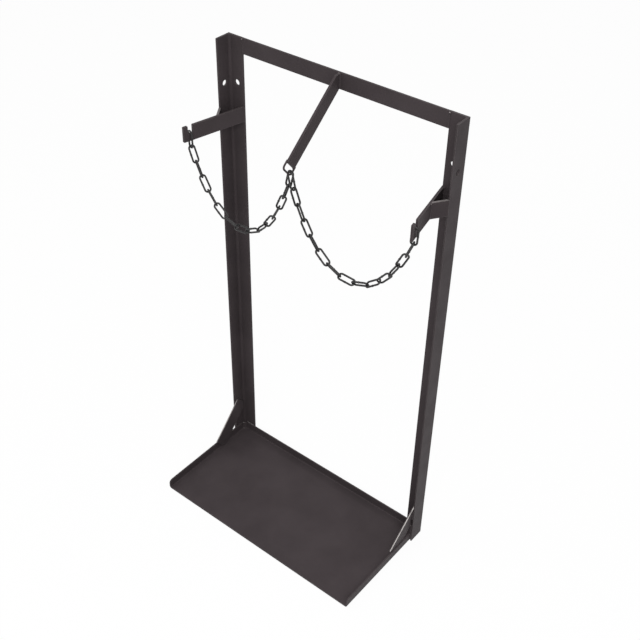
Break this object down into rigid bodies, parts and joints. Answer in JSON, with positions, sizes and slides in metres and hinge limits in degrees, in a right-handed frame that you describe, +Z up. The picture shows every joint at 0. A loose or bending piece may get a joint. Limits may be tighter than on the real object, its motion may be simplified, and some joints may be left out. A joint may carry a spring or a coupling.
{
  "type": "gas cylinder bracket",
  "caption": "Angle-iron gas cylinder bracket with a floor tray, slotted hook arms and slack chains hung from a centre arm; fixes to a wall.",
  "frame": {"origin": "on the floor, in the middle of the footprint", "axes": "+X to the right as seen from the front, +Y to the back (the wall side), +Z up"},
  "size_m": [0.5812, 0.293, 1.125],
  "materials": {
    "powder_coat": "satin dark brown-grey powder coat with a fine texture",
    "chain_steel": "dark coated steel chain, satin"
  },
  "bodies": {
    "frame": {"left_upright": "powder_coat", "right_upright": "powder_coat", "top_rail": "powder_coat", "centre_arm": "powder_coat", "chain_ring": "powder_coat", "left_hook_arm": "powder_coat", "right_hook_arm": "powder_coat", "left_arm_brace": "powder_coat", "right_arm_brace": "powder_coat", "tray": "powder_coat", "left_strut": "powder_coat", "right_strut": "powder_coat"},
    "left_chain": {"left_link_01": "chain_steel", "left_link_02": "chain_steel", "left_link_03": "chain_steel", "left_link_04": "chain_steel", "left_link_05": "chain_steel", "left_link_06": "chain_steel", "left_link_07": "chain_steel", "left_link_08": "chain_steel", "left_link_09": "chain_steel", "left_link_10": "chain_steel", "left_link_11": "chain_steel", "left_link_12": "chain_steel", "left_link_13": "chain_steel", "left_link_14": "chain_steel", "left_link_15": "chain_steel"},
    "right_chain": {"right_link_01": "chain_steel", "right_link_02": "chain_steel", "right_link_03": "chain_steel", "right_link_04": "chain_steel", "right_link_05": "chain_steel", "right_link_06": "chain_steel", "right_link_07": "chain_steel", "right_link_08": "chain_steel", "right_link_09": "chain_steel", "right_link_10": "chain_steel", "right_link_11": "chain_steel", "right_link_12": "chain_steel", "right_link_13": "chain_steel", "right_link_14": "chain_steel", "right_link_15": "chain_steel"}
  },
  "joints": [
    {"name": "right_chain_swing", "type": "hinge", "parent": "frame", "child": "right_chain", "pos_m": [0, -0.00501, 0.97245], "axis": [-0.9974, -0.051, 0.0517], "range_deg": [0, 18]},
    {"name": "left_chain_swing", "type": "hinge", "parent": "frame", "child": "left_chain", "pos_m": [0, -0.00056, 0.97245], "axis": [0.998, -0.0353, 0.0517], "range_deg": [0, 18]}
  ]
}
